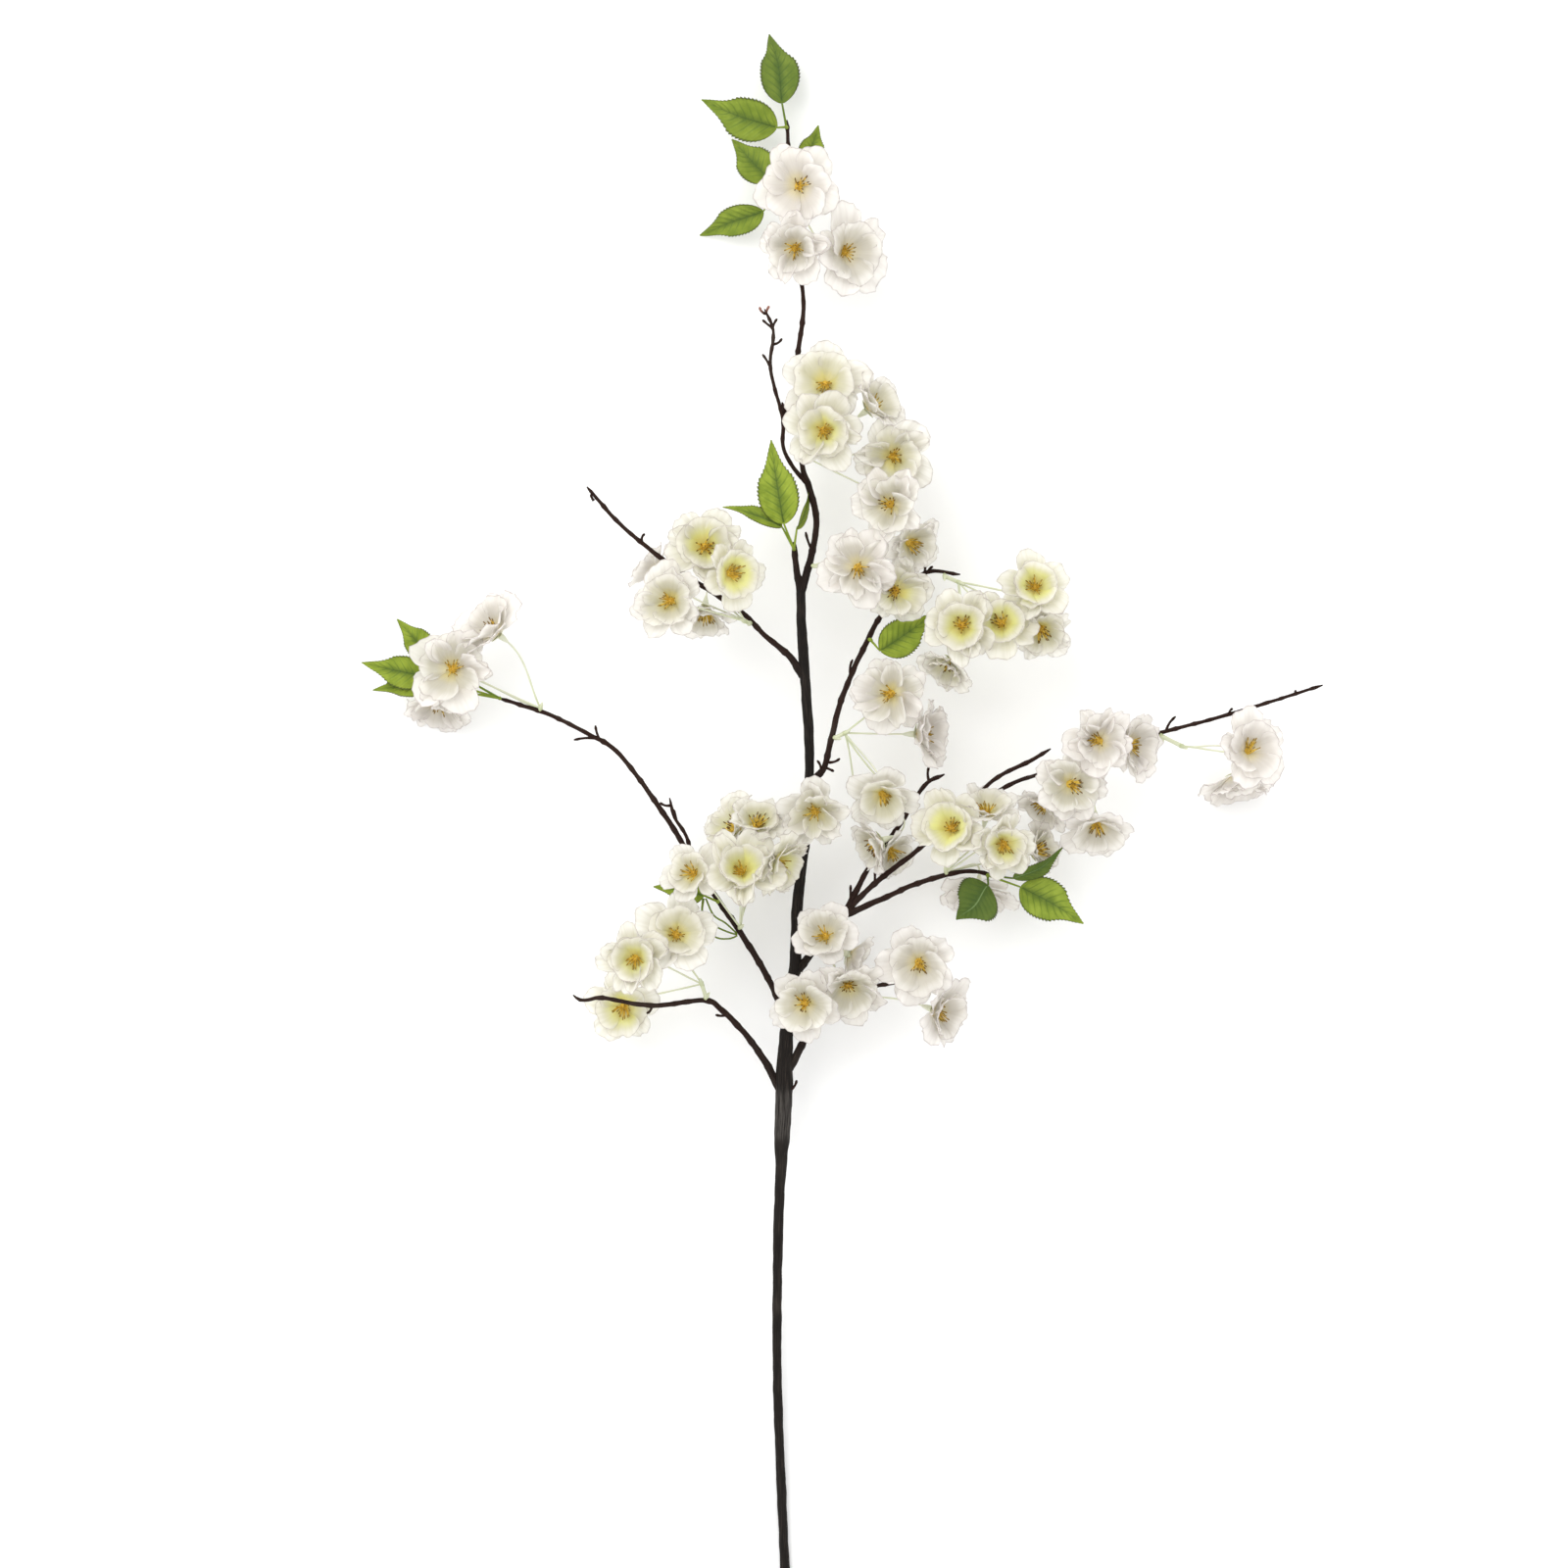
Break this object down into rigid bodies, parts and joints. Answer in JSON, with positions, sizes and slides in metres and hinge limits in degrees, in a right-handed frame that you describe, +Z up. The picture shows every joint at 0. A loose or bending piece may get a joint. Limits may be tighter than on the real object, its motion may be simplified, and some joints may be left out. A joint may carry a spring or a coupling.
{
  "type": "artificial cherry blossom stem",
  "caption": "Long cut stem of double white cherry blossom, laid on its back, with a dark branching stem, green bloom stalks, layered petals and toothed green leaves.",
  "frame": {"origin": "middle of the foot of the whole spray's box, on the surface the stem lies on", "axes": "+Y along the stem from its cut end to its tip, +X across it to the right as seen from above with the tip away from the viewer, +Z up from the surface"},
  "size_m": [0.6477, 1.0676, 0.1134],
  "materials": {
    "wood": "even charcoal covering with fine lengthwise grain",
    "stalks": "moulded pale green, with golden stamens at its end",
    "petals": "thin crimped white cloth, yellow green at the heart",
    "leaves": "printed bright green cloth with a dark midrib"
  },
  "bodies": {
    "root": {"branch": "wood", "crown_petals_1": "petals", "crown_petals_2": "petals", "crown_stalks": "stalks", "fanHeart_petals_1": "petals", "fanHeart_petals_2": "petals", "fanHeart_petals_3": "petals", "fanHeart_stalks": "stalks", "fanLeaves": "leaves", "fanRight_petals_1": "petals", "fanRight_petals_2": "petals", "fanRight_stalks": "stalks", "farLeftLeaves": "leaves", "farLeft_petals_1": "petals", "farLeft_petals_2": "petals", "farLeft_stalks": "stalks", "farRight_petals_1": "petals", "farRight_petals_2": "petals", "farRight_stalks": "stalks", "heart_petals_1": "petals", "heart_stalks": "stalks", "leftHeart_petals_1": "petals", "leftHeart_petals_2": "petals", "leftHeart_stalks": "stalks", "leftLeaf": "leaves", "left_petals_1": "petals", "left_petals_2": "petals", "left_petals_3": "petals", "left_stalks": "stalks", "lowLeft_petals_1": "petals", "lowLeft_petals_2": "petals", "lowLeft_stalks": "stalks", "lowRight_petals_1": "petals", "lowRight_petals_2": "petals", "lowRight_petals_3": "petals", "lowRight_stalks": "stalks", "middleRight_petals_1": "petals", "middleRight_petals_2": "petals", "middleRight_stalks": "stalks", "prongLeaves": "leaves", "rightLeaf": "leaves", "right_petals_1": "petals", "right_petals_2": "petals", "right_stalks": "stalks", "stemFront_petals_1": "petals", "stemFront_stalks": "stalks", "tipLeaves": "leaves", "topLeaves": "leaves", "top_petals_1": "petals", "top_stalks": "stalks"}
  },
  "joints": []
}
